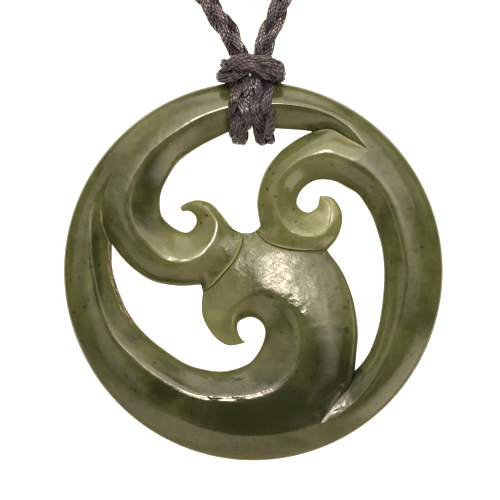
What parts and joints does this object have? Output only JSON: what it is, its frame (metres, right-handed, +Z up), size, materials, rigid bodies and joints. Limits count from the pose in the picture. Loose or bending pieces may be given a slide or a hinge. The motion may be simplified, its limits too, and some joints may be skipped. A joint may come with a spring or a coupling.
{
  "type": "koru pendant on a plaited cord",
  "caption": "Round greenstone pendant carved into pierced koru spirals, hung by a lark's-head knot on a closed loop of dark plaited waxed cord.",
  "frame": {"origin": "at the nape, on the axis and at the middle of the sleeve that joins the cord's two ends", "axes": "+Z up, the carved face looks along -Y, +X to the viewer's right of the carved face"},
  "size_m": [0.1124, 0.1102, 0.1897],
  "materials": {
    "greenstone": "polished translucent olive-green nephrite with darker mottling and black specks",
    "waxed_cord": "waxed black-brown thread with a slight shine",
    "sleeve": "plain dark tube"
  },
  "bodies": {
    "root": {"koru_disc": "greenstone", "strand_1": "waxed_cord", "strand_2": "waxed_cord", "strand_3": "waxed_cord", "nape_sleeve": "sleeve"}
  },
  "joints": []
}
